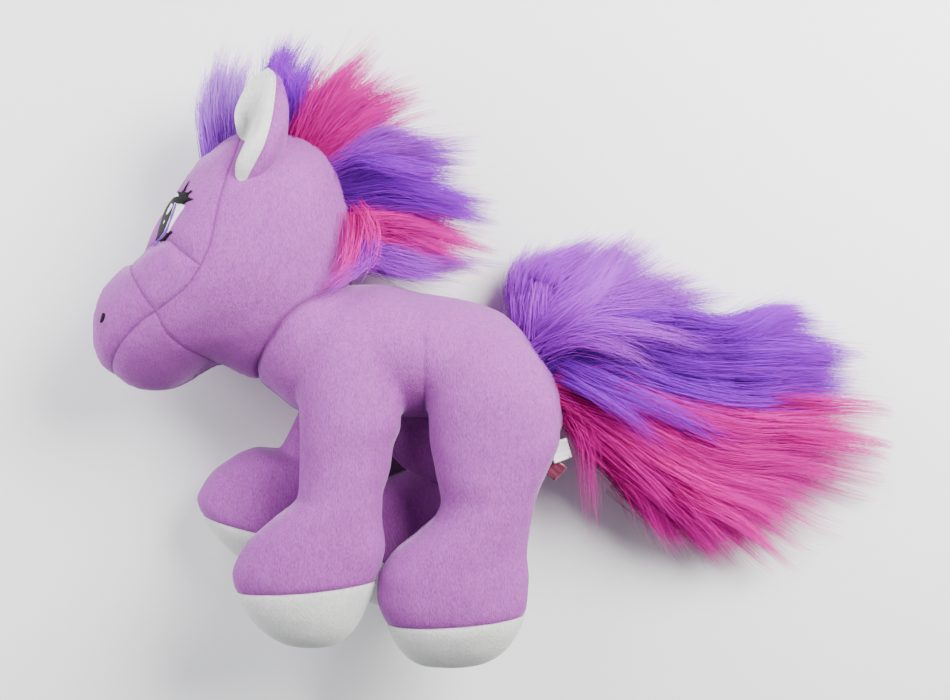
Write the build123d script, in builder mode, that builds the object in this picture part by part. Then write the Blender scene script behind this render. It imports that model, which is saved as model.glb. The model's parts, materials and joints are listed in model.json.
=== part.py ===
"""Plush pony, lying on its right side: short-pile body panels over stuffing, fur mane and tail.

Millimetres. Z is up from the surface the toy lies on. The head points to -X, the tail to +X,
the back to +Y and the hooves to -Y, so the toy's left side faces up. Origin: the middle of
the toy's footprint, on that surface.
"""
from build123d import *
from math import cos, sin, radians
import os

os.makedirs("parts", exist_ok=True)

# Driving sizes
HALF_WIDTH = 51.0            # height of the toy's middle plane above the surface
SKIN = 1.5                   # thickness of the pile fabric
GAP = 0.4                    # running gap between bodies that turn
FAR = 400.0                  # larger than the toy, for cutting regions

# Torso: barrel stations (x, middle y, half height, half width), chest to rump
BARREL = [
    (-106, -8, 15, 22),
    (-86, 0, 29, 37),
    (-52, 2, 33, 42),
    (-16, -3, 33, 42),
    (10, -14, 29, 37),
    (24, -24, 21, 26),
    (30, -27, 9, 12),
]
KEEL_HALF = 12.0             # half width of the body between the legs
KEEL = [(-98, -10), (-94, -26), (-80, -32), (-40, -34), (-14, -40), (4, -48),
        (20, -48), (29, -38), (29, -20), (20, -8), (-40, 4)]

# Neck: a round stub of the torso that the head turns on
NECK = (-97.0, 14.0)
NECK_R = 24.0
NECK_HALF = 33.0
NECK_CLEAR = 0.1
NECK_DIR = -38.0             # degrees, from the head towards the torso
TORSO_SIDE = (-88, 88)       # the torso keeps this sector about the neck
HEAD_OPEN = (-105, 100)      # the head is cut back over this sector

# Head: skull, a ball drawn out upright, and muzzle, a ball drawn out sideways
SKULL = (-123.0, 53.0)
SKULL_R = 51.5
SKULL_HALF_HEIGHT = 59.0
MUZZLE = (-172.0, 13.0)
MUZZLE_R = 30.5
MUZZLE_HALF_WIDTH = 36.0

# Legs
LEG_OFFSET = 25.7            # foot middle to the toy's middle plane
THIGH_OFFSET = 30.4          # thigh middle to the toy's middle plane
THIGH_HALF = 17.2
DISC_HALF = 17.7
HOOF_FROM = 94.0             # where the white hoof begins, along the leg from its pivot
# stations down a hind leg: distance, shift forward (-) or back, half length, offset, half width
LOWER_LEG = [
    (28, -1.5, 22.5, THIGH_OFFSET, THIGH_HALF),
    (42, -2.5, 21.5, 28.5, 20.0),
    (54, -6.0, 22.5, 27.0, 22.5),
    (64, -12.5, 28.5, LEG_OFFSET, 24.5),
    (76, -17.5, 34.5, LEG_OFFSET, 25.3),
    (90, -19.5, 35.5, LEG_OFFSET, 25.3),
    (104, -20.0, 30.0, LEG_OFFSET, 23.0),
    (117, -19.5, 20.0, LEG_OFFSET, 16.0),
    (122, -19.5, 11.0, LEG_OFFSET, 9.0),
]
FRONT_DROP = 11.0            # a front leg's pivot is this much nearer to its hoof
# leg: side, pivot, pivot disc radius, thigh half length, rest angle, middle of its swing, drop
LEGS = {
    "left_front_leg": (1, (-71.8, -26.4), 25.0, 23.0, 0.0, -12.0, FRONT_DROP),
    "left_hind_leg": (1, (-4.8, -29.7), 30.5, 28.0, 2.0, 11.0, 0.0),
    "right_front_leg": (-1, (-75.9, -14.2), 25.0, 23.0, -22.0, -32.0, FRONT_DROP),
    "right_hind_leg": (-1, (-4.8, -23.0), 30.5, 28.0, -20.0, -11.0, 0.0),
}

# Ears: leaf plates on the sides of the head
EAR_BASE = (-117.0, 85.0, 48.0)      # x, y, and height from the middle plane
EAR_LEAN = 13.0                      # degrees, tip towards the middle plane
EAR_LENGTH = 53.0
EAR_HALF = 14.0
EAR_PLY = 2.4

# Mane tufts: base on the skull's ridge, direction, length, half width at base and tip
MANE_HALF = 10.0
MANE = {
    "mane_forelock": ((-139.5, 113.5), 96, 34, 8.0, 4.0),
    "mane_purple_front": ((-110.5, 114.5), 80, 42, 9.0, 5.0),
    "mane_pink_front": ((-91.5, 108.5), 47, 52, 9.0, 6.0),
    "mane_lavender_middle": ((-78.5, 95.0), 24, 50, 5.5, 3.5),
    "mane_purple_back": ((-72.0, 80.5), 12, 58, 8.0, 5.5),
    "mane_pink_back": ((-68.5, 63.0), 1, 62, 8.0, 5.0),
    "mane_lavender_back": ((-69.0, 46.5), 2, 36, 4.5, 2.5),
}

# Tail
TAIL_PIVOT = (27.0, 0.0)
TAIL_R = 9.0
TAIL_HALF = 11.0
# tail locks: stations (x, middle y, middle z, half height, half width)
TAIL_LOCKS = {
    "tail_lavender": [
        (43, 36, 51, 17, 16), (70, 38, 44, 19, 19), (100, 32, 34, 11, 16), (116, 30, 30, 5, 8)],
    "tail_purple": [
        (43, 4, 50, 13, 18), (80, 1, 42, 15, 21), (135, 7, 28, 17, 19), (188, -4, 18, 8, 10)],
    "tail_pink": [
        (43, -23, 48, 11, 17), (80, -36, 38, 19, 21), (140, -44, 24, 31, 19),
        (190, -46, 15, 14, 12), (203, -48, 13, 5, 6)],
}

# Labels: middle and size in the side view
LABEL = (33.5, -42.0)
LABEL_SIZE = (7.0, 8.0)
LABEL_LIFT = 1.0
LABEL_THICK = 2.0            # the ribbon's two plies and the gap in its fold
LABEL_PLY = 0.5
CARE_LABEL = (31.0, -50.0)
CARE_LABEL_SIZE = (9.0, 10.0)

# Embroidered eye: middle of the left eye on the skull, and the half sizes of its patches
EYE = (-156.0, 63.0, 39.0)
EYE_OUT = (-0.68, 0.15, 0.72)
STITCH = 0.9
EYE_WHITE = (9.0, 12.0)
EYE_IRIS = (7.0, 10.5)
EYE_PUPIL = (4.5, 7.5)
LASH_GROW = (1.6, 1.8)
EYE_REACH = 8.0              # how far a patch's outline is carried either way to meet the skin
NOSTRIL = (-198.0, 20.0)
NOSTRIL_APART = 20.0         # each nostril to the middle plane
NOSTRIL_SIZE = (7.0, 2.0)
NOSTRIL_TURN = 60.0


def export(part, name):
    """Label a finished piece and write its file."""
    part.label = name
    export_step(part, f"parts/{name}.step")


def common(solid, region):
    """The part of a solid inside a region."""
    with BuildPart() as piece:
        add(solid)
        add(region, mode=Mode.INTERSECT)
    return piece.part


def without(solid, *regions):
    """A solid with regions taken away, one after the other."""
    for region in regions:
        with BuildPart() as piece:
            add(solid)
            add(region, mode=Mode.SUBTRACT)
        solid = piece.part
    return solid


def prism(points, low=-FAR, high=FAR):
    """A polygon in the XY plane, raised from low to high."""
    with BuildPart() as block:
        with BuildSketch(Plane.XY.offset(low)):
            with BuildLine():
                Polyline(points, close=True)
            make_face()
        extrude(amount=high - low)
    return block.part


def disc(centre, radius, low, high):
    """An upright cylinder between two heights."""
    with BuildPart() as drum:
        with BuildSketch(Plane.XY.offset(low)):
            with Locations(centre):
                Circle(radius)
        extrude(amount=high - low)
    return drum.part


def toward(centre, degrees, distance):
    """A point at a distance from a centre, in the XY plane."""
    angle = radians(degrees)
    return (centre[0] + distance * cos(angle), centre[1] + distance * sin(angle))


def sector(centre, start, end):
    """A deep wedge about a centre, from one direction to another, under a full turn."""
    turns = [start + (end - start) * step / 4 for step in range(5)]
    return prism([centre] + [toward(centre, turn, 2 * FAR) for turn in turns])


def halves(solid, height):
    """The parts of a solid above and below a height."""
    sides = []
    for keep in (Keep.TOP, Keep.BOTTOM):
        with BuildPart() as half:
            add(solid)
            split(bisect_by=Plane.XY.offset(height), keep=keep)
        sides.append(half.part)
    return sides


# Torso

def barrel(inset):
    """The body's rounded barrel, smaller all round by inset."""
    with BuildPart() as body:
        for x, middle, half_height, half_width in BARREL:
            with BuildSketch(Plane(origin=(x, middle, HALF_WIDTH), x_dir=(0, 1, 0), z_dir=(1, 0, 0))):
                Ellipse(half_height - inset, half_width - inset)
        loft(ruled=True)
    return body.part


def torso_form(inset):
    """Barrel, keel between the legs and round neck stub."""
    with BuildPart() as body:
        add(barrel(inset))
        with BuildSketch(Plane.XY.offset(HALF_WIDTH - KEEL_HALF + inset)):
            with BuildLine():
                Polyline(KEEL, close=True)
            make_face()
            if inset:
                offset(amount=-inset, kind=Kind.INTERSECTION, mode=Mode.REPLACE)
        extrude(amount=2 * (KEEL_HALF - inset))
        reach = NECK_HALF - inset
        add(disc(NECK, NECK_R - inset, HALF_WIDTH - reach, HALF_WIDTH + reach))
    return body.part


def leg_room(leg):
    """The room a leg needs beside the keel: its pivot disc and all that is below its pivot."""
    side, pivot, radius, _, _, swing, _ = LEGS[leg]
    inner = HALF_WIDTH + side * KEEL_HALF
    low, high = sorted((inner, inner + side * FAR))
    with BuildPart() as room:
        add(disc(pivot, radius + GAP, low, high))
        add(common(sector(pivot, swing - 180, swing), slab(low, high)))
    return room.part


def slab(low, high):
    """Everything between two heights."""
    return prism([(-FAR, -FAR), (FAR, -FAR), (FAR, FAR), (-FAR, FAR)], low, high)


head_side = without(
    sector(NECK, NECK_DIR + TORSO_SIDE[1], NECK_DIR + 360 + TORSO_SIDE[0]),
    disc(NECK, NECK_R + NECK_CLEAR, -FAR, FAR),
)
tail_room = disc(TAIL_PIVOT, TAIL_R + GAP, -FAR, FAR)
rooms = [leg_room(leg) for leg in LEGS] + [head_side, tail_room]
torso_outer = torso_form(0)
torso_inner = torso_form(SKIN)
torso_stuffing = without(torso_inner, *rooms)
torso_skin = without(torso_outer, torso_inner, *rooms)
belly_zone = prism(
    [(-100, -60), (40, -60), (40, -34), (-100, -22)],
    HALF_WIDTH - KEEL_HALF - 1, HALF_WIDTH + KEEL_HALF + 1,
)
upper, lower = halves(without(torso_skin, belly_zone), HALF_WIDTH)
export(upper, "torso_left_panel")
export(lower, "torso_right_panel")
export(common(torso_skin, belly_zone), "belly_panel")
export(torso_stuffing, "torso_stuffing")


# Legs

def leg_form(leg, inset):
    """Pivot disc, thigh, shin and foot of one leg."""
    side, pivot, radius, thigh, angle, _, drop = LEGS[leg]
    across = (cos(radians(angle)), sin(radians(angle)), 0)
    down = (sin(radians(angle)), -cos(radians(angle)), 0)
    up = (-down[0], -down[1], 0)
    axis = Plane(origin=(pivot[0], pivot[1], HALF_WIDTH), x_dir=across, z_dir=down)
    middle = HALF_WIDTH + side * THIGH_OFFSET
    reach = DISC_HALF - inset
    stations = [(drop, 0, thigh, THIGH_OFFSET, THIGH_HALF)] + LOWER_LEG
    stations[-1] = (stations[-1][0] - inset,) + stations[-1][1:]
    with BuildPart() as form:
        for distance, shift, half_length, height, half_width in stations:
            with BuildSketch(axis.offset(distance - drop)):
                with Locations((shift, side * height)):
                    Ellipse(half_length - inset, half_width - inset)
        loft(ruled=True)
        with BuildSketch(Plane(origin=(*pivot, middle - reach), x_dir=up, z_dir=(0, 0, 1))):
            Circle(radius - inset)
        extrude(amount=2 * reach)
    return form.part, axis


for leg, (side, _, _, _, _, _, drop) in LEGS.items():
    outer, axis = leg_form(leg, 0)
    inner, _ = leg_form(leg, SKIN)
    export(inner, f"{leg}_stuffing")
    skins = halves(without(outer, inner), HALF_WIDTH + side * LEG_OFFSET)
    if side < 0:
        skins.reverse()
    for skin, place in zip(skins, ("outer", "inner")):
        for keep, name in ((Keep.BOTTOM, f"{leg}_{place}_panel"), (Keep.TOP, f"{leg}_hoof_{place}")):
            with BuildPart() as panel:
                add(skin)
                split(bisect_by=axis.offset(HOOF_FROM - drop), keep=keep)
            export(panel.part, name)


# Head

def capsule(plane, radius, half_length):
    """A ball drawn out along its plane's normal."""
    straight = half_length - radius
    with BuildPart() as form:
        with BuildSketch(plane):
            Circle(radius)
        extrude(amount=straight, both=True)
        for end in (-straight, straight):
            add(Sphere(radius, mode=Mode.PRIVATE).moved(plane.offset(end).location))
    return form.part


def head_form(grow):
    """Skull and muzzle, larger all round by grow."""
    skull_middle = (SKULL[0], SKULL[1], HALF_WIDTH)
    muzzle_middle = (MUZZLE[0], MUZZLE[1], HALF_WIDTH)
    upright = Plane(origin=skull_middle, x_dir=(1, 0, 0), z_dir=(0, 1, 0))
    sideways = Plane(origin=muzzle_middle, x_dir=(1, 0, 0), z_dir=(0, 0, 1))
    with BuildPart() as head:
        add(capsule(upright, SKULL_R + grow, SKULL_HALF_HEIGHT + grow))
        add(capsule(sideways, MUZZLE_R + grow, MUZZLE_HALF_WIDTH + grow))
    return head.part


neck_room = [
    disc(NECK, NECK_R + NECK_CLEAR + GAP, -FAR, FAR),
    sector(NECK, NECK_DIR + HEAD_OPEN[0], NECK_DIR + HEAD_OPEN[1]),
]
floor_side = slab(-FAR, 0)
head_outer = head_form(0)
head_inner = head_form(-SKIN)
export(without(head_inner, *neck_room), "head_stuffing")
head_skin = without(head_outer, head_inner, floor_side, *neck_room)

# seam corners in the side view
BROW = (-130, 140)
TEMPLE = (-134, 54)
CHEEK_TOP = (-143, 45)
CORNER = (-163, 22)
BRIDGE = (-179, 43)
NOTCH = (-179, 52)
JAW_BACK = (-141, -1)
CHIN = (-191, -12)
front = [(-260, 60), (-260, 140)]
face_zone = prism([BROW, TEMPLE, CHEEK_TOP, NOTCH] + front)
saddle_zone = prism([CHEEK_TOP, CORNER, BRIDGE, (-200, 60), NOTCH])
cheek_zone = prism([BROW, TEMPLE, CHEEK_TOP, CORNER, JAW_BACK, (-110, -60), (0, -60), (0, 140)])
nose_zone = prism([CORNER, CHIN, (-200, -40), (-260, -40), (-260, 60), (-200, 60), BRIDGE])
jaw_zone = prism([CORNER, JAW_BACK, (-110, -60), (-200, -60), (-200, -40), CHIN])
export(common(head_skin, face_zone), "face_panel")
export(common(head_skin, saddle_zone), "muzzle_saddle")
export(common(head_skin, nose_zone), "nose_panel")
for zone, name in ((cheek_zone, "cheek"), (jaw_zone, "jaw")):
    upper, lower = halves(common(head_skin, zone), HALF_WIDTH)
    export(upper, f"left_{name}")
    export(lower, f"right_{name}")


# Embroidery

stitch_layer = without(head_form(STITCH), head_outer)


def eye_plane(side):
    """The plane that an eye is sewn in, set back under the skin."""
    middle = Plane(
        origin=(EYE[0], EYE[1], HALF_WIDTH + side * EYE[2]),
        x_dir=(EYE_OUT[2], 0, -side * EYE_OUT[0]),
        z_dir=(EYE_OUT[0], EYE_OUT[1], side * EYE_OUT[2]),
    )
    return middle.offset(-EYE_REACH)


def eye_patch(side, half_sizes, hole=None):
    """One embroidered patch of an eye: an oval, or a ring around the next patch."""
    with BuildPart() as patch:
        with BuildSketch(eye_plane(side)):
            Ellipse(*half_sizes)
            if hole:
                Ellipse(*hole, mode=Mode.SUBTRACT)
        extrude(amount=2 * EYE_REACH)
    return common(patch.part, stitch_layer)


def eye_lash(side):
    """The lash line over an eye."""
    with BuildPart() as patch:
        with BuildSketch(eye_plane(side)):
            Ellipse(EYE_WHITE[0] + LASH_GROW[0], EYE_WHITE[1] + LASH_GROW[1])
            Ellipse(*EYE_WHITE, mode=Mode.SUBTRACT)
            with Locations((0, -8)):
                Rectangle(40, 24, mode=Mode.SUBTRACT)
        extrude(amount=2 * EYE_REACH)
    return common(patch.part, stitch_layer)


for side, name in ((1, "left_eye"), (-1, "right_eye")):
    export(eye_patch(side, EYE_WHITE, EYE_IRIS), f"{name}_white")
    export(eye_patch(side, EYE_IRIS, EYE_PUPIL), f"{name}_iris")
    export(eye_patch(side, EYE_PUPIL), f"{name}_pupil")
    export(eye_lash(side), f"{name}_lashes")

with BuildPart() as nostril_stitches:
    for side in (1, -1):
        with BuildSketch(Plane.XY.offset(HALF_WIDTH + side * NOSTRIL_APART - 6)):
            with Locations(Location((*NOSTRIL, 0), (0, 0, NOSTRIL_TURN))):
                SlotOverall(*NOSTRIL_SIZE)
        extrude(amount=12)
    add(stitch_layer, mode=Mode.INTERSECT)
export(nostril_stitches.part, "nostril_stitches")


# Ears

for side, name in ((1, "left_ear"), (-1, "right_ear")):
    lean = radians(EAR_LEAN)
    root = (EAR_BASE[0], EAR_BASE[1], HALF_WIDTH + side * EAR_BASE[2])
    leaf = Plane(origin=root, x_dir=(side, 0, 0), z_dir=(0, sin(lean), side * cos(lean)))
    for place, start in (("inner", 0), ("outer", -EAR_PLY)):
        with BuildPart() as ply:
            with BuildSketch(leaf.offset(start)):
                with BuildLine():
                    Spline([(-5, 0), (-EAR_HALF, 24), (side * 2, EAR_LENGTH), (EAR_HALF, 26), (5, 0)])
                    Line((5, 0), (-5, 0))
                make_face()
            extrude(amount=EAR_PLY)
        export(ply.part, f"{name}_{place}")


# Mane

ridge = prism(
    [SKULL, (-150, 130), (-110, 150), (-40, 120), (-30, 60), (-60, 36)],
    HALF_WIDTH - 7, HALF_WIDTH + 7,
)
export(common(without(head_form(SKIN), head_form(0.1)), ridge), "mane_backing")
for name, (base, angle, length, half_base, half_tip) in MANE.items():
    along = (cos(radians(angle)), sin(radians(angle)), 0)
    root = Plane(origin=(base[0], base[1], HALF_WIDTH), x_dir=(along[1], -along[0], 0), z_dir=along)
    with BuildPart() as tuft:
        for distance, half in ((0, half_base), (length * 0.55, half_base + 1), (length, half_tip)):
            with BuildSketch(root.offset(distance)):
                Ellipse(half, MANE_HALF * (1 - 0.5 * distance / length))
        loft(ruled=True)
    export(tuft.part, name)


# Tail

with BuildPart() as tail_backing:
    add(disc(TAIL_PIVOT, TAIL_R, HALF_WIDTH - TAIL_HALF, HALF_WIDTH + TAIL_HALF))
    with BuildSketch(Plane.XY.offset(HALF_WIDTH - 8)):
        with Locations((TAIL_PIVOT[0] + 8, TAIL_PIVOT[1])):
            Rectangle(12, 8)
    extrude(amount=16)
export(tail_backing.part, "tail_backing")
for name, stations in TAIL_LOCKS.items():
    with BuildPart() as lock:
        for x, middle, height, half_height, half_width in stations:
            with BuildSketch(Plane(origin=(x, middle, height), x_dir=(0, 1, 0), z_dir=(1, 0, 0))):
                Ellipse(half_height, half_width)
        loft(ruled=True)
    export(lock.part, name)


# Labels sewn into the seam under the tail

with BuildPart() as label_ribbon:
    with BuildSketch(Plane.XY.offset(HALF_WIDTH + LABEL_LIFT)):
        with Locations(LABEL):
            Rectangle(*LABEL_SIZE)
    extrude(amount=LABEL_THICK)
    with BuildSketch(Plane.XY.offset(HALF_WIDTH + LABEL_LIFT + LABEL_PLY)):
        with Locations((LABEL[0] - LABEL_PLY, LABEL[1])):
            Rectangle(*LABEL_SIZE)
    extrude(amount=LABEL_THICK - 2 * LABEL_PLY, mode=Mode.SUBTRACT)
export(label_ribbon.part, "label_ribbon")
with BuildPart() as care_label:
    with BuildSketch(Plane.XY.offset(HALF_WIDTH + LABEL_LIFT - LABEL_THICK)):
        with Locations(CARE_LABEL):
            Rectangle(*CARE_LABEL_SIZE)
    extrude(amount=LABEL_PLY)
export(care_label.part, "care_label")
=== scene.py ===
"""The plush unicorn's looks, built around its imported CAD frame.

Shapes are in millimetres of the row frame until they become meshes."""

import json
import math

import bmesh
import bpy
import numpy as np
import openvdb
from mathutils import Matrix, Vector
from mathutils.bvhtree import BVHTree
from mathutils.geometry import delaunay_2d_cdt


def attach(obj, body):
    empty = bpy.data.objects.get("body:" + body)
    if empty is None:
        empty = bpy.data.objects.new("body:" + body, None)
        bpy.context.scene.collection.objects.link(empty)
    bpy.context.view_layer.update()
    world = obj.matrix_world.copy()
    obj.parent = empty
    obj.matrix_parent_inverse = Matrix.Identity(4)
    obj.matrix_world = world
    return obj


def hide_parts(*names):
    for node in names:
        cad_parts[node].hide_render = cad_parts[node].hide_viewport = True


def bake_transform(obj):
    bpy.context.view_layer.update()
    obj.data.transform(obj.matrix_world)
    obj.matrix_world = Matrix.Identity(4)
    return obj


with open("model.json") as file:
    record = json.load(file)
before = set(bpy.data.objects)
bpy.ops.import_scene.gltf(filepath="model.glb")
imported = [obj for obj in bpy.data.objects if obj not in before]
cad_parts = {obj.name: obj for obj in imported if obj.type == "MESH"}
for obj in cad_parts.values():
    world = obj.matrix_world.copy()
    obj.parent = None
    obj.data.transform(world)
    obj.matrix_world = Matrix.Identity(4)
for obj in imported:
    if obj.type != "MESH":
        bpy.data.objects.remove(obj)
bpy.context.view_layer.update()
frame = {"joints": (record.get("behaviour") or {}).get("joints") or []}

MM = 0.001
JOINTS = {j["name"]: j for j in frame["joints"]}


def pivot(joint):
    """A joint's place, in millimetres."""
    return np.array(JOINTS[joint]["pos_m"]) / MM


MIDDLE = pivot("neck_nod")[2]     # the toy's middle plane
VOXEL = 1.15
SEAM_WIDTH = 0.5
SEAM_DEPTH = 1.0

# ---- curves


def through(stations, at):
    """Smooth interpolation at places, with no overshoot. Each station row starts with its place."""
    rows = np.array(stations, float)
    x, y = rows[:, 0], rows[:, 1:]
    step = np.diff(x)
    slope = np.diff(y, axis=0) / step[:, None]
    tangent = np.zeros_like(y)
    tangent[0], tangent[-1] = slope[0], slope[-1]
    before, after = slope[:-1], slope[1:]
    same = before * after > 0
    mean = 2 * before * after / np.where(same, before + after, 1)
    tangent[1:-1] = np.where(same, mean, 0)
    at = np.clip(np.asarray(at, float), x[0], x[-1])
    i = np.clip(np.searchsorted(x, at, side="right") - 1, 0, len(step) - 1)
    h = step[i][..., None]
    t = ((at - x[i]) / step[i])[..., None]
    return (
        y[i] * (2 * t**3 - 3 * t**2 + 1)
        + tangent[i] * h * (t**3 - 2 * t**2 + t)
        + y[i + 1] * (-2 * t**3 + 3 * t**2)
        + tangent[i + 1] * h * (t**3 - t**2)
    )


def spline(points, count, closed=False):
    """A Catmull-Rom curve through points, as count points."""
    p = np.array(points, float)
    n = len(p)
    total = n if closed else n - 1
    u = np.linspace(0, total, count, endpoint=not closed)
    i = np.minimum(u.astype(int), total - 1)
    t = (u - i)[:, None]
    if closed:
        a, b, c, d = p[(i - 1) % n], p[i % n], p[(i + 1) % n], p[(i + 2) % n]
    else:
        q = np.vstack([2 * p[0] - p[1], p, 2 * p[-1] - p[-2]])
        a, b, c, d = q[i], q[i + 1], q[i + 2], q[i + 3]
    square, cube = 2 * a - 5 * b + 4 * c - d, 3 * b - a - 3 * c + d
    return 0.5 * (2 * b + (c - a) * t + square * t**2 + cube * t**3)


def bell(distance, width):
    """1 at no distance, falling smoothly to 0 over about twice the width."""
    return np.exp(-((distance / width) ** 2))


def inside(outline, x, y):
    """True where points lie in a closed outline."""
    hit = np.zeros(np.shape(x), bool)
    ends = np.roll(outline, -1, axis=0)
    for (x0, y0), (x1, y1) in zip(outline, ends):
        if y0 == y1:
            continue
        cross = (y0 > y) != (y1 > y)
        hit ^= cross & (x < (x1 - x0) * (y - y0) / (y1 - y0) + x0)
    return hit


def to_line(line, x, y):
    """Distance in the XY plane to an open line of points."""
    best = np.full(np.shape(x), 1e9)
    for (x0, y0), (x1, y1) in zip(line[:-1], line[1:]):
        dx, dy = x1 - x0, y1 - y0
        t = np.clip(((x - x0) * dx + (y - y0) * dy) / (dx * dx + dy * dy + 1e-12), 0, 1)
        best = np.minimum(best, (x - x0 - t * dx) ** 2 + (y - y0 - t * dy) ** 2)
    return np.sqrt(best)


def lumps(p, size, seed, waves=14):
    """Smooth noise near -1 to 1, with lumps of about that size."""
    rng = np.random.default_rng(seed)
    way = rng.normal(size=(waves, 3))
    way /= np.linalg.norm(way, axis=1)[:, None]
    way *= (rng.uniform(0.7, 1.5, waves) * math.pi / size)[:, None]
    phase = rng.uniform(0, 2 * math.pi, waves)
    return np.sin(p @ way.T + phase).sum(1) * (1.6 / waves)


# ---- closed forms as fields


class Field:
    """A block of space on the shared lattice."""

    def __init__(self, low, high):
        self.low = np.floor(np.array(low, float) / VOXEL) * VOXEL
        count = np.ceil((np.array(high, float) - self.low) / VOXEL).astype(int) + 1
        axes = [self.low[k] + VOXEL * np.arange(count[k]) for k in range(3)]
        self.x, self.y, self.z = (a.astype(np.float32) for a in np.meshgrid(*axes, indexing="ij"))

    def mesh(self, distance):
        """The skin where the distance is 0, as points and quads that face outwards."""
        grid = openvdb.FloatGrid()
        grid.copyFromArray(np.ascontiguousarray(distance))
        points, _, quads = grid.convertToPolygons(isovalue=0.0, adaptivity=0.0)
        points = points.astype(float) * VOXEL + self.low
        return points, quads.astype(int)


def as_distance(level):
    """Turns a level function, negative inside, into about a distance."""
    gx, gy, gz = np.gradient(level, VOXEL)
    return (level / np.maximum(np.sqrt(gx * gx + gy * gy + gz * gz), 1e-4)).astype(np.float32)


def merge(a, b, soft):
    """Both forms, with a soft fillet where they meet."""
    h = np.clip(0.5 + 0.5 * (b - a) / soft, 0, 1)
    return b + (a - b) * h - soft * h * (1 - h)


def limb(field, along, across, stations):
    """A limb of oval sections. Stations: place, low edge, high edge, middle height, half height."""
    s = through(stations, along)
    middle, half = (s[..., 0] + s[..., 1]) / 2, np.maximum((s[..., 1] - s[..., 0]) / 2, 0.2)
    level = np.sqrt(((across - middle) / half) ** 2 + ((field.z - s[..., 2]) / s[..., 3]) ** 2) - 1
    level = level * np.minimum(half, s[..., 3])
    first, last = stations[0][0], stations[-1][0]
    return as_distance(np.maximum(level, np.maximum(first - along, along - last)))


# ---- torso and legs

# stations along the body: x, belly line, back line, middle height, half thickness
TORSO = [
    (-121, -5, 4, MIDDLE, 8),
    (-117, -12, 12, MIDDLE, 22),
    (-110, -18, 22, MIDDLE, 32),
    (-100, -26, 30, MIDDLE, 37),
    (-88, -30, 34, MIDDLE, 39.5),
    (-75, -31, 36, MIDDLE, 41),
    (-60, -31, 36, MIDDLE, 41.5),
    (-39, -30, 32, MIDDLE, 41),
    (-17, -33, 28, MIDDLE, 40.5),
    (-1, -38, 23, MIDDLE, 38.5),
    (9, -41, 15, MIDDLE, 35),
    (20, -43, 1, MIDDLE, 28),
    (28, -42, -11, MIDDLE, 18),
    (31, -36, -21, MIDDLE, 9),
]
THIGH_OUT = 29.0             # a thigh's middle to the middle plane
FOOT_OUT = 25.7
# stations down a leg from its hip: distance, front edge, back edge, middle height, half height
FRONT_LEG = [
    (-34, -10, 8, THIGH_OUT, 6),
    (-26, -18, 16, THIGH_OUT, 12.5),
    (-12, -23, 22, THIGH_OUT, 17.5),
    (4, -24.5, 24.5, THIGH_OUT, 19.8),
    (17, -24, 23.9, THIGH_OUT, 20.2),
    (27, -23.9, 20.1, 28.5, 20.2),
    (40, -24.4, 18.2, 27.4, 20.8),
    (51, -26, 15.8, 26.4, 22.0),
    (62, -38, 15.3, FOOT_OUT, 24.3),
    (75, -51.2, 16.4, FOOT_OUT, 25.0),
    (89, -57, 13.4, FOOT_OUT, 25.0),
    (97, -55.5, 11, FOOT_OUT, 24.2),
    (105, -51.7, 7.8, FOOT_OUT, 22.4),
    (114, -44.5, 2.8, FOOT_OUT, 18.2),
    (120, -37.2, -3.2, FOOT_OUT, 13.2),
    (123, -31, -9, FOOT_OUT, 8.2),
    (124.6, -22, -18, FOOT_OUT, 1.5),
]
# the far front foot is pressed shorter, where the toy lies on it
PRESSED_LEG = FRONT_LEG[:8] + [
    (57, -39, 15.3, FOOT_OUT, 24.3),
    (66.5, -48, 16.2, FOOT_OUT, 25.0),
    (79, -55, 13.6, FOOT_OUT, 25.0),
    (90, -56.5, 10, FOOT_OUT, 24.2),
    (97, -52, 5, FOOT_OUT, 22.4),
    (103, -44.5, -1, FOOT_OUT, 18.2),
    (108, -36, -7, FOOT_OUT, 13.2),
    (111, -28, -12, FOOT_OUT, 8.2),
    (112.5, -19, -17, FOOT_OUT, 1.5),
]
HIND_LEG = [
    (-44, -12, 8, THIGH_OUT - 1, 6),
    (-36, -22, 18, THIGH_OUT, 12.0),
    (-22, -28, 27, THIGH_OUT, 17.8),
    (-6, -30, 32.5, THIGH_OUT, 20.6),
    (8, -29.2, 33.2, THIGH_OUT, 21.2),
    (25, -25.9, 27.5, 28.6, 21.0),
    (39, -23.9, 22, 27.4, 21.2),
    (45, -25.8, 20.8, 26.8, 22.2),
    (53, -33.5, 19.4, FOOT_OUT, 24.0),
    (65, -47.6, 18.2, FOOT_OUT, 25.0),
    (76, -53.9, 19.1, FOOT_OUT, 25.2),
    (86, -54.6, 18.4, FOOT_OUT, 24.8),
    (98, -50.7, 15.8, FOOT_OUT, 22.8),
    (107, -46.5, 11.2, FOOT_OUT, 18.8),
    (114, -41, 4.8, FOOT_OUT, 13.6),
    (118, -34, -3, FOOT_OUT, 8.6),
    (120.2, -21, -16, FOOT_OUT, 1.5),
]
LEG_SOFT = 6.0               # the fillet where a leg, the neck or the belly meets the torso
CROTCH_SOFT = 1.5


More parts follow.
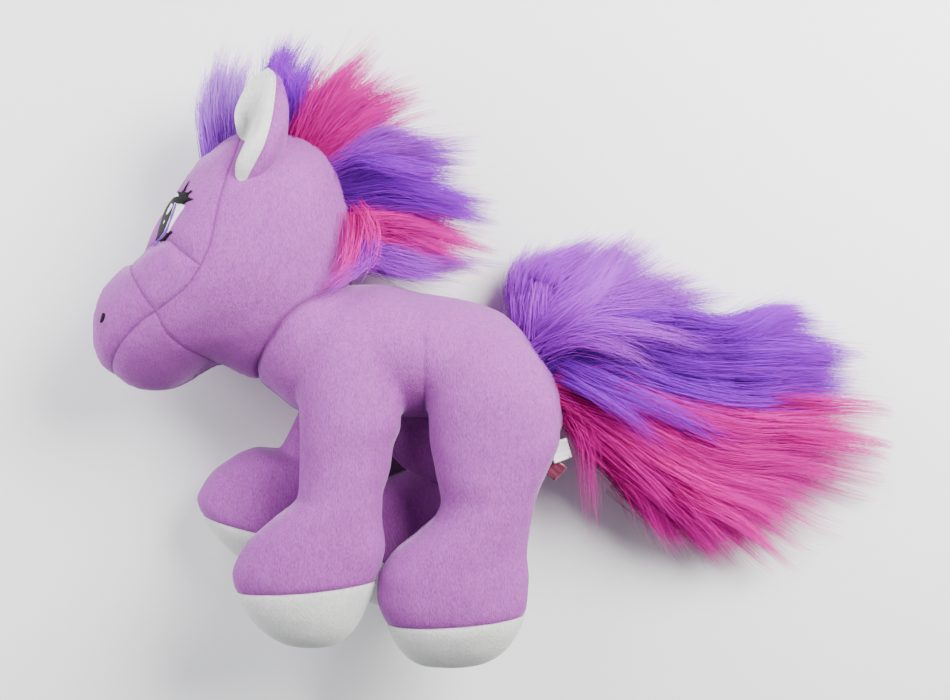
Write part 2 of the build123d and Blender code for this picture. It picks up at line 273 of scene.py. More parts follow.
class Leg:
    """One leg: where its hip is, how it leans, and where it parts from the torso."""

    def __init__(self, name, side, hip, lean, stations, parts_at, bend_end, hoof_at, hoof_tilt):
        self.name, self.side = name, side
        self.hip, self.lean = np.array(hip, float), math.radians(lean)
        self.stations = [(d, a, b, MIDDLE + side * out, half) for d, a, b, out, half in stations]
        self.parts_at, self.bend_end, self.hoof_at = parts_at, bend_end, hoof_at
        self.hoof_tilt = math.radians(hoof_tilt)

    def down(self):
        """The way the leg points, in the XY plane."""
        return np.array([math.sin(self.lean), -math.cos(self.lean)])

    def local(self, x, y):
        """Distance down the leg, and place across it."""
        dx, dy = x - self.hip[0], y - self.hip[1]
        c, s = math.cos(self.lean), math.sin(self.lean)
        return s * dx - c * dy, c * dx + s * dy

    def at(self, distance, across=0.0):
        """The point at a distance down the leg, in the middle of its height."""
        c, s = math.cos(self.lean), math.sin(self.lean)
        x, y = self.hip + distance * self.down() + across * np.array([c, s])
        return np.array([x, y, MIDDLE + self.side * FOOT_OUT])

    def form(self, field):
        along, across = self.local(field.x, field.y)
        return limb(field, along, across, self.stations)


LEGS = [
    Leg("left_front_leg", 1, (-71.8, -15.4), 0, FRONT_LEG, 27, 52, 94.1, 4.5),
    Leg("left_hind_leg", 1, (-4.8, -29.7), 0, HIND_LEG, 22, 47, 96.2, 4),
    Leg("right_front_leg", -1, (-70.5, -9.0), -22, PRESSED_LEG, 38, 62, 93.7, 8.6),
    Leg("right_hind_leg", -1, (-4.8, -23.0), -20, HIND_LEG, 30, 54, 94.0, 0),
]

body_field = Field((-170, -158, -4), (42, 46, 108))
torso_form = limb(body_field, body_field.x, body_field.y, TORSO)
NECK = pivot("neck_nod")
NECK_BALL = (29.0, 38.5)
neck_form = as_distance(
    np.sqrt(
        ((body_field.x - NECK[0]) / NECK_BALL[0]) ** 2
        + ((body_field.y - NECK[1]) / NECK_BALL[0]) ** 2
        + ((body_field.z - MIDDLE) / NECK_BALL[1]) ** 2
    )
    - 1
)
torso_form = merge(torso_form, neck_form, LEG_SOFT)
# the belly sags between the legs: its middle and half sizes
BELLY = ((-26, -36, MIDDLE - 2), (32, 26, 12))
belly_place = [(a - m) / h for a, m, h in zip((body_field.x, body_field.y, body_field.z), *BELLY)]
belly_form = as_distance(np.sqrt(sum(a * a for a in belly_place)) - 1)
torso_form = merge(torso_form, belly_form, LEG_SOFT)
leg_forms = {leg.name: merge(torso_form, leg.form(body_field), LEG_SOFT) for leg in LEGS}
all_form = leg_forms["left_front_leg"]
for leg in LEGS[1:]:
    all_form = merge(all_form, leg_forms[leg.name], CROTCH_SOFT)

# ---- head

# the head's outline in the side view, from the brow round the muzzle to the neck and the nape
HEAD_OUTLINE = spline(
    [
        (-123, 113), (-133, 110.5), (-141.5, 104), (-150, 96.5), (-159, 84), (-167.5, 70.5), (-173.5, 59), (-178.5, 51.5),
        (-188, 44), (-197, 34.5), (-202, 21), (-202.5, 8), (-198.5, -3), (-190, -11.5), (-175, -16.5), (-161.5, -14.5),
        (-149, -7), (-138, -4), (-126, -9), (-112, -10), (-98, -4), (-88, 7), (-79, 22), (-75, 36), (-73.2, 52),
        (-73.6, 66), (-75.5, 78), (-80, 92), (-88, 103), (-98, 109.5), (-110, 113),
    ],
    160,
    closed=True,
)
HEAD_HALF = 51.0
SWEEPS, OVER_RELAX = 500, 1.9     # how long and how boldly the inflated height is settled


def inflate(outline, cell):
    """The stuffed height over a flat outline: the square of it, on a grid with its corner and cell."""
    low = outline.min(0) - 4 * cell
    count = np.ceil((outline.max(0) + 4 * cell - low) / cell).astype(int) + 1
    x, y = np.meshgrid(*(low[k] + cell * np.arange(count[k]) for k in range(2)), indexing="ij")
    within = inside(outline, x, y)
    u = np.zeros(x.shape)
    checker = (np.add.outer(np.arange(count[0]), np.arange(count[1])) % 2).astype(bool)
    for _ in range(SWEEPS):
        for colour in (checker, ~checker):
            around = np.roll(u, 1, 0) + np.roll(u, -1, 0) + np.roll(u, 1, 1) + np.roll(u, -1, 1)
            near = (around + cell * cell) / 4
            take = colour & within
            u[take] += OVER_RELAX * (near[take] - u[take])
    edge = to_line(np.vstack([outline, outline[:1]]), x, y)
    slope = 0.46 * HEAD_HALF
    u = np.where(within, np.maximum(u, 0), -slope * edge)
    return u, low, cell


def sample(grid, x, y):
    """Bilinear samples of an inflated grid."""
    u, low, cell = grid
    fx = np.clip((x - low[0]) / cell, 0, u.shape[0] - 1.001)
    fy = np.clip((y - low[1]) / cell, 0, u.shape[1] - 1.001)
    i, j = fx.astype(int), fy.astype(int)
    tx, ty = fx - i, fy - j
    low_side = u[i, j] * (1 - tx) * (1 - ty) + u[i + 1, j] * tx * (1 - ty)
    return low_side + u[i, j + 1] * (1 - tx) * ty + u[i + 1, j + 1] * tx * ty


head_grid = inflate(HEAD_OUTLINE, 1.5)
head_field = Field((-212, -26, -4), (-62, 122, 108))
head_scale = HEAD_HALF**2 / head_grid[0].max()
rise = head_field.z - MIDDLE
head_level = rise**2 - head_scale * sample(head_grid, head_field.x, head_field.y)
head_form = as_distance(head_level)

# ---- materials


def new_material(name):
    """A material, its node tree and its shader."""
    material = bpy.data.materials.new(name)
    material.use_nodes = True
    tree = material.node_tree
    return material, tree, tree.nodes["Principled BSDF"]


def node(tree, kind, links=(), **values):
    """A new node. Its inputs are set to values, or linked where a value is (node, output)."""
    made = tree.nodes.new(kind)
    for name, value in values.items():
        if hasattr(made, name):
            setattr(made, name, value)
    for name, value in dict(links).items():
        if isinstance(value, tuple) and hasattr(value[0], "outputs"):
            tree.links.new(value[0].outputs[value[1]], made.inputs[name])
        else:
            made.inputs[name].default_value = value
    return made


def two_colours(tree, fac, low, dark, high, light):
    """A ramp between two colours."""
    ramp = tree.nodes.new("ShaderNodeValToRGB")
    ramp.color_ramp.elements[0].position = low
    ramp.color_ramp.elements[0].color = (*dark, 1)
    ramp.color_ramp.elements[1].position = high
    ramp.color_ramp.elements[1].color = (*light, 1)
    tree.links.new(fac, ramp.inputs["Fac"])
    return ramp.outputs["Color"]


def cover(tree, shader, colour, gloss, specular=None, relief=None):
    """Sets the shader's colour and gloss, and its relief as strength, depth and height."""
    tree.links.new(colour, shader.inputs["Base Color"])
    shader.inputs["Roughness"].default_value = gloss
    if specular is not None:
        shader.inputs["Specular IOR Level"].default_value = specular
    if relief:
        strength, depth, height = relief
        bump = node(tree, "ShaderNodeBump", {"Strength": strength, "Distance": depth, "Height": height})
        tree.links.new(bump.outputs["Normal"], shader.inputs["Normal"])


def noise_of(tree, source, scale, detail, roughness=0.5):
    """Noise over a source of coordinates."""
    inputs = {"Vector": source, "Scale": scale, "Detail": detail, "Roughness": roughness}
    return node(tree, "ShaderNodeTexNoise", inputs)


def velour(name, light, dark, crease, sheen, nap_turn):
    """Short pile: fine directional nap, mottling, painted shade darkening the seams, and a pale sheen at the edges."""
    material, tree, shader = new_material(name)
    coords = node(tree, "ShaderNodeTexCoord")
    along_nap = {"Rotation": (0, 0, math.radians(nap_turn)), "Scale": (1, 0.33, 1)}
    turned = node(tree, "ShaderNodeMapping", {"Vector": (coords, "Object"), **along_nap})
    nap = noise_of(tree, (turned, "Vector"), 1700, 2.0, 0.6)
    mottle = noise_of(tree, (turned, "Vector"), 420, 3.0, 0.65)
    broad = noise_of(tree, (coords, "Object"), 24, 2.0)
    first = node(tree, "ShaderNodeMath", {0: (nap, "Fac"), 1: 0.62}, operation="MULTIPLY")
    added = dict(operation="MULTIPLY_ADD")
    second = node(tree, "ShaderNodeMath", {0: (mottle, "Fac"), 1: 0.25, 2: (first, 0)}, **added)
    third = node(tree, "ShaderNodeMath", {0: (broad, "Fac"), 1: 0.13, 2: (second, 0)}, **added)
    pile = two_colours(tree, third.outputs[0], 0.35, dark, 0.63, light)
    # painted shade: a point attribute blends the pile towards the dark crease colour in the seams' valleys and at the
    # neck
    seam_shade = node(tree, "ShaderNodeAttribute", attribute_name="crease")
    mixed = node(tree, "ShaderNodeMix", data_type="RGBA")
    tree.links.new(seam_shade.outputs["Fac"], mixed.inputs["Factor"])
    tree.links.new(pile, mixed.inputs[6])
    mixed.inputs[7].default_value = (*crease, 1)
    cover(tree, shader, mixed.outputs[2], 0.92, 0.05, (0.7, 0.0007, (second, 0)))
    shader.inputs["Sheen Weight"].default_value = 0.42
    shader.inputs["Sheen Roughness"].default_value = 0.3
    shader.inputs["Sheen Tint"].default_value = (*sheen, 1)
    return material


def fur(name, root, middle, tip):
    """Long pile: dark at the roots, pale at the tips, each hair a little different.
    The UV holds the hair's tone and the place along it."""
    material, tree, shader = new_material(name)
    uv = node(tree, "ShaderNodeUVMap", uv_map="OFBake")
    parts = node(tree, "ShaderNodeSeparateXYZ", {"Vector": (uv, "UV")})
    ramp = tree.nodes.new("ShaderNodeValToRGB")
    ramp.color_ramp.elements[0].color = (*root, 1)
    ramp.color_ramp.elements[1].color = (*tip, 1)
    ramp.color_ramp.elements.new(0.45).color = (*middle, 1)
    tree.links.new(parts.outputs["Y"], ramp.inputs["Fac"])
    tone = node(tree, "ShaderNodeMapRange", {"Value": (parts, "X"), "To Min": 0.76, "To Max": 1.22})
    toned = {"Value": (tone, "Result"), "Color": (ramp, "Color")}
    shade = node(tree, "ShaderNodeHueSaturation", toned)
    cover(tree, shader, shade.outputs["Color"], 0.42, 0.06)
    return material


THREAD_ROWS = 900.0


def thread(name, light, dark, gloss, shine=0.3):
    """Satin stitches: fine parallel threads with a slight gloss."""
    material, tree, shader = new_material(name)
    coords = node(tree, "ShaderNodeTexCoord")
    inputs = {"Vector": (coords, "Object"), "Scale": THREAD_ROWS, "Distortion": 2.5, "Detail": 1.0}
    rows = node(tree, "ShaderNodeTexWave", inputs, wave_type="BANDS")
    colour = two_colours(tree, rows.outputs["Fac"], 0.1, dark, 0.8, light)
    cover(tree, shader, colour, gloss, shine, (0.5, 0.0003, (rows, "Fac")))
    return material


# each pile's third colour is the painted shade laid into its seams
lilac = velour(
    "lilac_pile", (0.35, 0.088, 0.37), (0.225, 0.042, 0.25), (0.09, 0.012, 0.105), (0.88, 0.80, 1.0), 62
)
white = velour(
    "white_pile", (0.66, 0.66, 0.64), (0.50, 0.50, 0.485), (0.35, 0.33, 0.34), (1.0, 1.0, 1.0), 20
)
thread_white = thread("thread_white", (0.85, 0.87, 0.90), (0.66, 0.69, 0.74), 0.4)
thread_violet = thread("thread_violet", (0.24, 0.010, 0.52), (0.13, 0.004, 0.34), 0.5, 0.1)
thread_dark = thread("thread_dark", (0.010, 0.009, 0.010), (0.004, 0.004, 0.004), 0.6, 0.05)
thread_charcoal = thread("thread_charcoal", (0.045, 0.040, 0.045), (0.015, 0.014, 0.016), 0.6, 0.05)
PINK = fur("fur_pink", (0.38, 0.0, 0.14), (0.66, 0.0, 0.32), (0.78, 0.008, 0.45))
PURPLE = fur("fur_purple", (0.09, 0.0, 0.25), (0.25, 0.0, 0.60), (0.38, 0.006, 0.72))
LAVENDER = fur("fur_lavender", (0.24, 0.008, 0.46), (0.38, 0.02, 0.65), (0.50, 0.075, 0.76))
FORELOCK = fur("fur_forelock", (0.33, 0.04, 0.66), (0.50, 0.11, 0.85), (0.68, 0.32, 0.92))

# ---- meshes


def in_scene(name, data):
    """A new object in the scene."""
    obj = bpy.data.objects.new(name, data)
    bpy.context.scene.collection.objects.link(obj)
    return obj


def make(name, points, faces, material=None):
    """A mesh object from points in millimetres."""
    mesh = bpy.data.meshes.new(name)
    places = (np.asarray(points, float) * MM).tolist()
    mesh.from_pydata(places, [], [list(map(int, f)) for f in faces])
    mesh.validate()
    mesh.shade_smooth()
    if material:
        mesh.materials.append(material)
    return in_scene(name, mesh)


def normals_of(points, quads):
    """Vertex normals of a quad skin."""
    a, b, c, d = (points[quads[:, k]] for k in range(4))
    face = np.cross(c - a, d - b)
    total = np.zeros_like(points)
    for k in range(4):
        np.add.at(total, quads[:, k], face)
    return total / np.maximum(np.linalg.norm(total, axis=1)[:, None], 1e-12)


def keep_faces(points, faces, mask):
    """The skin of the kept faces alone."""
    faces = faces[mask]
    used, faces = np.unique(faces, return_inverse=True)
    return points[used], faces.reshape(-1, 4)


def to_bmesh(points, quads):
    bm = bmesh.new()
    made = [bm.verts.new(p) for p in points]
    for f in quads:
        bm.faces.new([made[i] for i in f])
    return bm


def bisect(bm, place, normal):
    geom = bm.verts[:] + bm.edges[:] + bm.faces[:]
    bmesh.ops.bisect_plane(bm, geom=geom, dist=0.02, plane_co=place, plane_no=normal)


def refine(bm, near, times):
    """Splits the faces close to seams, where each reach in times halves them again."""
    for reach in times:
        co = np.array([v.co for v in bm.verts])
        close = near(co) < reach
        bm.verts.index_update()
        edges = [e for e in bm.edges if close[e.verts[0].index] and close[e.verts[1].index]]
        bmesh.ops.subdivide_edges(bm, edges=edges, cuts=1, use_grid_fill=True)


def set_crease_shade(obj, values):
    """How much painted shade each point gets in the seams, for the fabric to read."""
    made = obj.data.attributes.new("crease", "FLOAT", "POINT")
    made.data.foreach_set("value", values.astype(np.float32))


def split(bm, kinds, crease, prefix):
    """Objects from one skin, by the kind of each face, each with its painted seam shade values."""
    bm.verts.index_update()
    made = {}
    co = np.array([v.co for v in bm.verts])
    dark = crease(co)
    centres = np.array([f.calc_center_median() for f in bm.faces])
    label = kinds(centres)
    faces = [[v.index for v in f.verts] for f in bm.faces]
    for kind in sorted(set(label)):
        chosen = [f for f, k in zip(faces, label) if k == kind]
        used = sorted({i for f in chosen for i in f})
        index = {v: n for n, v in enumerate(used)}
        obj = make(prefix + kind, co[used], [[index[i] for i in f] for f in chosen])
        set_crease_shade(obj, dark[used])
        made[kind] = obj
    bm.free()
    return made


def dress(obj, material, slot, body, *nodes, fill=0.75):
    """A stuffed piece in its fabric, riding on its body in place of its CAD nodes."""
    obj.data.materials.clear()
    obj.data.materials.append(material)
    if body:
        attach(obj, body)
    if nodes:
        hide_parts(*nodes)
    return obj


def crease_shade_of(distance):
    """How much painted shade lies in a seam's valley, from the distance to it."""
    return 0.5 * bell(distance, SEAM_WIDTH) + 0.10 * bell(distance, 2.2)


def sunk(points, normals, distance, depth=SEAM_DEPTH):
    """Points pressed in along a seam, with the fabric puffed and puckered beside it."""
    groove = -depth * bell(distance, 1.0) - 0.6 * depth * bell(distance, 3.2)
    pucker = 0.08 * lumps(points, 3.2, 5) * bell(distance, 5.0)
    return points + normals * (groove + pucker)[:, None]


def soften(points, normals):
    """The unevenness of stuffing under fabric."""
    return points + normals * (0.55 * lumps(points, 22, 1) + 0.22 * lumps(points, 9, 2))[:, None]


def depth_in(field, distance, p):
    """Distance to a form's skin at points, from its field."""
    f = (p - field.low) / VOXEL
    i = np.clip(f.astype(int), 0, np.array(distance.shape) - 2)
    t = f - i
    total = 0
    for corner in np.ndindex(2, 2, 2):
        c = np.array(corner)
        weight = np.prod(np.where(c, t, 1 - t), axis=1)
        total = total + weight * distance[tuple((i + c).T)]
    return np.where(((f < 0) | (f > np.array(distance.shape) - 1)).any(1), 1e3, total)


NECK_FOLD = (1.6, 1.0)       # the neck seam's width and depth


def necked(p, n, field, distance):
    """Points drawn in along the seam where head and torso meet."""
    gap = depth_in(field, distance, p)
    return p - n * (NECK_FOLD[1] * bell(gap, NECK_FOLD[0]))[:, None]


# ---- torso pieces

BELLY_HALF = 12.0
BELLY_TOP = [(-125, 2), (-108, -10), (-90, -16), (-60, -22), (0, -32), (45, -38)]
# the crease between a front and a hind leg
FORK = [(-38, -34), (-36.5, -24), (-35.5, -10), (-35.5, 10)]


def under_belly_line(p):
    return p[:, 1] < np.interp(p[:, 0], *np.array(BELLY_TOP).T)


def torso_seam(p):
    """Distance to the torso's seams along the back and round the belly panel, and to its fork."""
    back = np.abs(p[:, 2] - MIDDLE)
    side = np.abs(back - BELLY_HALF)
    fork = to_line(FORK, p[:, 0], p[:, 1]) + np.clip(20 - back, 0, 20)
    fork = fork + 0.012 * np.abs(p[:, 1] - FORK[0][1])
    return np.minimum(np.where(under_belly_line(p), side, back), fork)


NEAR_LEG = 7                 # a point this close to a leg's stations still belongs to it


def beyond(leg, p):
    """True for points on a leg, below where it parts from the torso."""
    along, across = leg.local(p[:, 0], p[:, 1])
    s = through(leg.stations, along)
    middle, half = (s[:, 0] + s[:, 1]) / 2, (s[:, 1] - s[:, 0]) / 2
    sideways, upward = (across - middle) / (half + NEAR_LEG), (p[:, 2] - s[:, 2]) / (s[:, 3] + NEAR_LEG)
    return (along > leg.parts_at) & (np.sqrt(sideways**2 + upward**2) < 1)


body_points, body_quads = body_field.mesh(all_form)
body_normals = normals_of(body_points, body_quads)
middles = body_points[body_quads].mean(1)
away = np.zeros(len(middles), bool)
for leg in LEGS:
    away |= beyond(leg, middles)
shaped = soften(body_points, body_normals)
shaped = sunk(shaped, body_normals, torso_seam(body_points), 0.5)
shaped = necked(shaped, body_normals, head_field, head_form)
torso_points, torso_quads = keep_faces(shaped, body_quads, ~away)
bm = to_bmesh(torso_points, torso_quads)
for height in (0, -BELLY_HALF, BELLY_HALF):
    bisect(bm, (0, 0, MIDDLE + height), (0, 0, 1))
refine(bm, torso_seam, (2.6,))


def torso_kind(p):
    side = np.where(p[:, 2] > MIDDLE, "torso_left_panel", "torso_right_panel")
    belly = (abs(p[:, 2] - MIDDLE) < BELLY_HALF) & under_belly_line(p)
    return np.where(belly, "belly_panel", side)


def neck_crease_shade(field, distance, p):
    """The painted shade in the seam where head and torso meet."""
    return 0.7 * crease_shade_of(0.4 * depth_in(field, distance, p))


# painted shade along the torso's seams, its fork and the neck
def torso_crease_shade(p):
    seams = 0.8 * crease_shade_of(0.6 * torso_seam(p))
    return np.maximum(seams, neck_crease_shade(head_field, head_form, p))


torso = split(bm, torso_kind, torso_crease_shade, "skin_")
dress(torso["torso_left_panel"], lilac, "lilac_pile", "torso", "torso_left_panel", "torso_stuffing")
dress(torso["torso_right_panel"], lilac, "lilac_pile", "torso", "torso_right_panel")
dress(torso["belly_panel"], lilac, "lilac_pile", "torso", "belly_panel")

# ---- leg pieces

for leg in LEGS:
    points, quads = body_field.mesh(leg_forms[leg.name])
    normals = normals_of(points, quads)
    below = beyond(leg, points[quads].mean(1))
    points = soften(points, normals)
    side_plane = MIDDLE + leg.side * FOOT_OUT
    tilt = np.array([math.cos(leg.lean + leg.hoof_tilt), math.sin(leg.lean + leg.hoof_tilt)])
    hoof_place = leg.at(leg.hoof_at, -20.0)
    hoof_normal = np.array([tilt[1], -tilt[0], 0.0])

    def leg_seam(p):
        """Distance to the leg's seams: its two side panels, and the top of its hoof."""
        along, _ = leg.local(p[:, 0], p[:, 1])
        sides = np.abs(p[:, 2] - side_plane) + 8 * np.clip((leg.parts_at + 14 - along) / 14, 0, 1)
        return np.minimum(sides, np.abs((p - hoof_place) @ hoof_normal))

    points = sunk(points, normals, leg_seam(points), 0.4)
    points, quads = keep_faces(points, quads, below)
    bm = to_bmesh(points, quads)
    bisect(bm, tuple(hoof_place), tuple(hoof_normal))
    bisect(bm, (0, 0, side_plane), (0, 0, 1))
    refine(bm, leg_seam, (2.4, 1.3))

    def leg_kind(p):
        outer = (p[:, 2] - side_plane) * leg.side > 0
        hoof = (p - hoof_place) @ hoof_normal > 0
        shoe = np.where(outer, "hoof_outer", "hoof_inner")
        return np.where(hoof, shoe, np.where(outer, "outer_panel", "inner_panel"))

    # painted shade along the leg's seams and the top of its hoof
    made = split(bm, leg_kind, lambda p: crease_shade_of(leg_seam(p)), f"skin_{leg.name}_")
    start, end = leg.at(leg.parts_at, 0) * MM, leg.at(leg.bend_end, 0) * MM
    for kind, obj in made.items():
        hoof = kind.startswith("hoof")
        nodes = [f"{leg.name}_{kind}"]
        if kind == "outer_panel":
            nodes.append(f"{leg.name}_stuffing")
        if hoof:
            dress(obj, white, "white_pile", leg.name, *nodes)
        else:
            dress(obj, lilac, "lilac_pile", None, *nodes)
            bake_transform(obj)

# ---- head pieces

FACE_SEAM = spline([(-126, 116), (-127, 98), (-130, 84), (-132.5, 70), (-135, 54), (-139.5, 43)], 30)
FACE_LOW = spline([(-139.5, 43), (-147, 33), (-162.5, 22)], 16)
BRIDGE_SEAM = spline([(-182, 48), (-176, 51.5), (-167, 55), (-157.5, 56), (-150.5, 51), (-143, 45.5), (-139.5, 43)], 30)
NOSE_SEAM = spline([(-181, 46), (-174, 37), (-168, 29), (-162.5, 22)], 16)
JAW_SEAM = spline([(-162.5, 22), (-157.5, 12), (-150.5, 5), (-141, -1), (-136, -8)], 20)
MOUTH_SEAM = spline([(-162.5, 22), (-171, 17), (-183, 6), (-190, -4), (-192, -14)], 24)
HEAD_SEAMS = [FACE_SEAM, FACE_LOW, BRIDGE_SEAM, NOSE_SEAM, JAW_SEAM, MOUTH_SEAM]
UNDER_JAW = np.array([(-192, -60), (-60, -60), (-60, 16), (-140, 16), (-192, -4)])
AHEAD = [(-260, 60), (-260, 160)]
ZONES = [
    ("face_panel", [*FACE_SEAM, *BRIDGE_SEAM[::-1], *AHEAD]),
    ("muzzle_saddle", [*BRIDGE_SEAM, *FACE_LOW, *NOSE_SEAM[::-1]]),
    ("nose_panel", [*NOSE_SEAM, *MOUTH_SEAM, (-192, -60), (-260, -60), (-260, 60)]),
    ("jaw", [*JAW_SEAM, (-136, -60), (-192, -60), *MOUTH_SEAM[::-1]]),
]


def head_seam(p):
    """Distance to the head's seams, near enough for its skin: each is drawn in the side view."""
    best = np.full(len(p), 1e9)
    for line in HEAD_SEAMS:
        best = np.minimum(best, to_line(line, p[:, 0], p[:, 1]))
    centre = np.abs(p[:, 2] - MIDDLE)
    under = inside(UNDER_JAW, p[:, 0], p[:, 1])
    behind = (p[:, 0] > -126) & (p[:, 1] > 30)
    return np.where(under | behind, np.minimum(best, centre), best)


def head_kind(p):
    side = np.where(p[:, 2] > MIDDLE, "left", "right")
    kind = np.char.add(side, "_cheek")
    for name, zone in ZONES:
        hit = inside(np.array(zone), p[:, 0], p[:, 1])
        kind = np.where(hit, np.char.add(side, "_jaw") if name == "jaw" else name, kind)
    return kind


def dimple(p, n, place, radius, depth):
    """Points pressed in around a place."""
    away = np.linalg.norm(p - np.array(place), axis=1)
    return p - n * (depth * bell(away, radius))[:, None]


head_points, head_quads = head_field.mesh(head_form)
head_normals = normals_of(head_points, head_quads)
for line, depth, width in ((BRIDGE_SEAM[:22], 1.3, 4.0), (MOUTH_SEAM, 0.9, 5.0)):
    valley = to_line(line, head_points[:, 0], head_points[:, 1])
    head_points = head_points - head_normals * (depth * bell(valley, width))[:, None]
for side in (1, -1):
    eye = (-163, 66, MIDDLE + side * 33)
    head_points = dimple(head_points, head_normals, eye, 13, 1.2)
head_points = soften(head_points, head_normals)
head_points = necked(head_points, head_normals, body_field, torso_form)
bm = to_bmesh(head_points, head_quads)
bisect(bm, (0, 0, MIDDLE), (0, 0, 1))
refine(bm, head_seam, (3.0, 1.6))
bm.normal_update()
fine_points = np.array([v.co for v in bm.verts])
fine_normals = np.array([v.normal for v in bm.verts])
for v, p in zip(bm.verts, sunk(fine_points, fine_normals, head_seam(fine_points), 0.34)):
    v.co = p
head_tree = BVHTree.FromBMesh(bm)


# painted shade along the head's seams and the neck
def head_crease_shade(p):
    return np.maximum(crease_shade_of(head_seam(p)), neck_crease_shade(body_field, torso_form, p))


head = split(bm, head_kind, head_crease_shade, "skin_")
for kind, obj in head.items():
    extra = ["head_stuffing"] if kind == "left_cheek" else []
    dress(obj, lilac, "lilac_pile", "head", kind, *extra)

# ---- ears

# the left ear's lengthwise curves, from its base to its tip: rims, hollow and folded flap, then the back
EAR_TIP = (-110.8, 138.6, 84)
EAR_RIM_FAR = [
    (-124, 104, 72), (-126.6, 108, 77), (-127, 113, 82), (-126.2, 119, 84), (-122.8, 127, 85),
    (-116.6, 134.8, 84.6), EAR_TIP,
]
EAR_WALL = [
    (-122.5, 103, 75), (-124.4, 107.6, 76), (-124.8, 112.6, 79.5), (-123.4, 119, 83),
    (-119.8, 126.6, 85.6), (-114.8, 134.8, 85.6), EAR_TIP,
]
EAR_HOLLOW = [
    (-120.5, 100, 80), (-121.8, 106.6, 77), (-121.6, 112, 77.5), (-120, 118.6, 82.6),
    (-117, 126, 86.2), (-113, 134.8, 86.2), EAR_TIP,
]
EAR_INSIDE = [
    (-121.4, 88, 90), (-120.2, 98, 85.5), (-119, 106.6, 81.5), (-117.4, 115.6, 84.4),
    (-114.4, 124.6, 87.2), (-111.4, 134.8, 86.6), EAR_TIP,
]
EAR_FOLD = [
    (-125, 86.8, 91.5), (-124.2, 92, 94), (-120.6, 101, 93), (-118, 110, 88.6), (-113.4, 121.6, 88.6),
    (-110, 134.6, 86.8), EAR_TIP,
]
EAR_FLAP = [
    (-122.8, 83.2, 93), (-119.6, 90.8, 97.2), (-115.6, 100.5, 97.6), (-112.8, 110, 93.6),
    (-110.4, 121, 89.8), (-108.4, 134.4, 86.6), EAR_TIP,
]
EAR_RIM_NEAR = [
    (-119.8, 83.4, 92.6), (-115.6, 90, 95), (-110.6, 100.5, 95.2), (-108.4, 110, 92.6),
    (-107, 121, 88.8), (-106.8, 134, 85.6), EAR_TIP,
]
EAR_BACK_NEAR = [
    (-117, 83.4, 90.6), (-111.6, 88.2, 91), (-105.6, 98.6, 90), (-102.2, 109, 88.6),
    (-101.8, 121, 86.4), (-104.6, 133.4, 83.6), EAR_TIP,
]
EAR_BACK = [
    (-115, 86.5, 84), (-109, 91, 80), (-105, 99.5, 78), (-103, 109, 77), (-102.8, 121, 78.6),
    (-105.6, 133.6, 81), EAR_TIP,
]
EAR_BACK_FAR = [
    (-117, 95, 73), (-114.5, 101, 69), (-113.6, 109.5, 69), (-113.4, 118.5, 72), (-113, 127.5, 77),
    (-112, 135, 81), EAR_TIP,
]
EAR_BACK_RIM = [
    (-122.5, 102.5, 70.5), (-124.6, 107.6, 72.5), (-125.4, 113, 75.5), (-124.8, 120, 79),
    (-121.4, 128, 81.5), (-115.6, 135.2, 82.4), EAR_TIP,
]
EAR_ROWS, EAR_COLUMNS, EAR_SEED = 70, 80, 31


def surface(curves, rows, columns):
    """A smooth surface through lengthwise curves, as a grid of points."""
    along = np.array([spline(c, rows) for c in curves])
    return np.array([spline(along[:, k], columns) for k in range(rows)])


def grid_faces(rows, columns):
    k = np.arange((rows - 1) * columns).reshape(rows - 1, columns)[:, :-1].ravel()
    return np.stack([k, k + 1, k + 1 + columns, k + columns], 1)


def ear_piece(part, curves, side, material, slot, body):
    p = surface(curves, EAR_ROWS, EAR_COLUMNS).reshape(-1, 3)
    p = p + 0.25 * np.stack([lumps(p, 7, EAR_SEED + k) for k in range(3)], 1)
    faces = grid_faces(EAR_ROWS, EAR_COLUMNS)
    if side < 0:
        p = p * (1, 1, -1) + (0, 0, 2 * MIDDLE)
        p[:, 2] = np.maximum(p[:, 2], 0.4)
        faces = faces[:, ::-1]
    obj = make(f"{body}_{part}_pile", p, faces, material)
    # painted shade darkening each ear piece towards its long edges, along the rims
    column = np.arange(EAR_COLUMNS)
    edge = np.tile(np.minimum(column, column[::-1]), EAR_ROWS) * 0.6
    set_crease_shade(obj, 0.35 * bell(edge, 0.8))
    dress(obj, material, slot, body, f"{body}_{part}", fill=0.3)


EAR_INNER = [EAR_RIM_FAR, EAR_WALL, EAR_HOLLOW, EAR_INSIDE, EAR_FOLD, EAR_FLAP, EAR_RIM_NEAR]
EAR_OUTER = [EAR_RIM_NEAR, EAR_BACK_NEAR, EAR_BACK, EAR_BACK_FAR, EAR_BACK_RIM, EAR_RIM_FAR]
for side, body in ((1, "left_ear"), (-1, "right_ear")):
    ear_piece("inner", EAR_INNER, side, white, "white_pile", body)
    ear_piece("outer", EAR_OUTER, side, lilac, "lilac_pile", body)

# ---- embroidery

